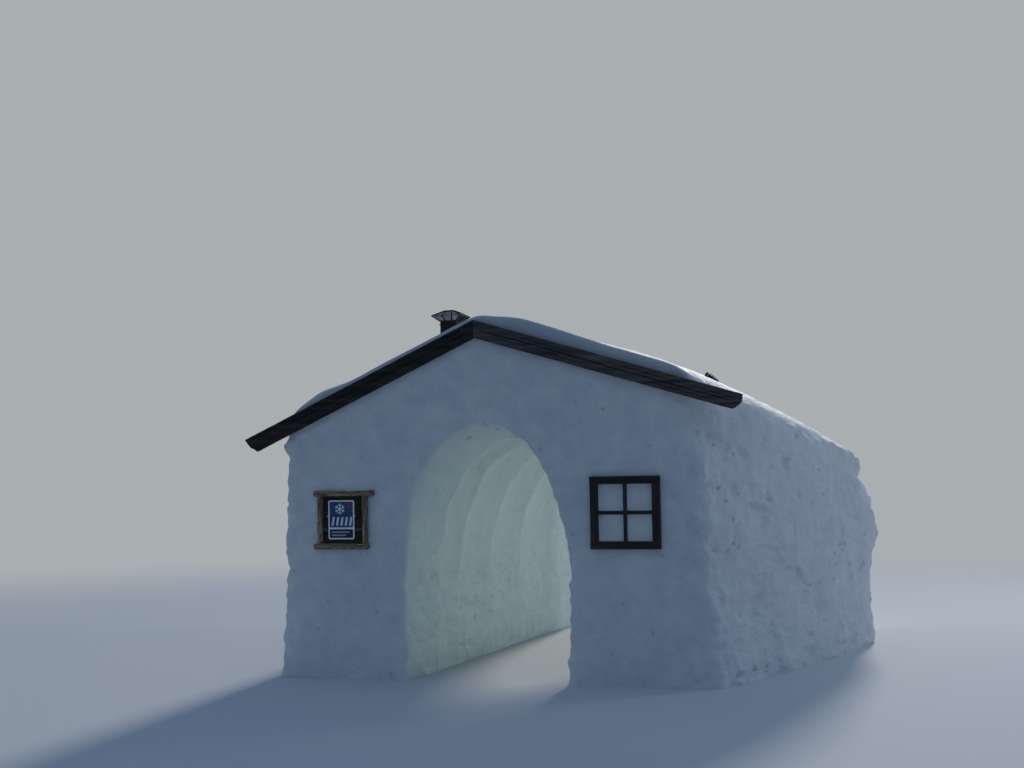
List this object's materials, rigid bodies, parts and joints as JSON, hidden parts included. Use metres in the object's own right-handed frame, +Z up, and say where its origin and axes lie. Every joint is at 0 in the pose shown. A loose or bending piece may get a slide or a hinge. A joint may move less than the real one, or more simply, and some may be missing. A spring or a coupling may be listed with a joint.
{
  "type": "gabled snow igloo hut with ribbed through vault",
  "caption": "Walk-through igloo hut of packed snow: gabled front with arched ribbed vault, thick side walls, timber bargeboards, dummy window, log-framed sign and small chimney.",
  "frame": {"origin": "centre of the building's plan box, on the ground, which is the lowest place where the walls meet the snow", "axes": "+X along the front to the right seen from outside, +Y from the front into the building along the vault, +Z up"},
  "size_m": [6.725, 6.47, 4.18],
  "materials": {
    "packed_snow": "matt packed snow",
    "roof_snow": "matt wind-blown snow",
    "dark_timber": "weathered dark stain",
    "window_timber": "dark stain",
    "split_log": "rough split log",
    "back_board": "weathered boards",
    "sign_plate": "printed plate",
    "tie": "satin",
    "flue_metal": "black paint"
  },
  "bodies": {
    "root": {"front_wall_left": "packed_snow", "front_gable": "packed_snow", "front_wall_right": "packed_snow", "left_wall_ring_1": "packed_snow", "vault_ring_1": "packed_snow", "right_wall_ring_1": "packed_snow", "left_wall_ring_2": "packed_snow", "vault_ring_2": "packed_snow", "right_wall_ring_2": "packed_snow", "left_wall_ring_3": "packed_snow", "vault_ring_3": "packed_snow", "right_wall_ring_3": "packed_snow", "left_wall_ring_4": "packed_snow", "vault_ring_4": "packed_snow", "right_wall_ring_4": "packed_snow", "rear_wall_left": "packed_snow", "rear_gable": "packed_snow", "rear_wall_right": "packed_snow", "roof_snow_left": "roof_snow", "roof_snow_right": "roof_snow", "bargeboard_left": "dark_timber", "bargeboard_right": "dark_timber", "window_top_rail": "window_timber", "window_bottom_rail": "window_timber", "window_left_stile": "window_timber", "window_right_stile": "window_timber", "window_upright_bar": "window_timber", "window_cross_bar": "window_timber", "sign_top_log": "split_log", "sign_bottom_log": "split_log", "sign_left_log": "split_log", "sign_right_log": "split_log", "sign_back_boards": "back_board", "sign_plate": "sign_plate", "sign_ties": "tie", "chimney_stack": "flue_metal", "chimney_cowl": "flue_metal", "roof_vent_hood": "flue_metal"}
  },
  "joints": []
}
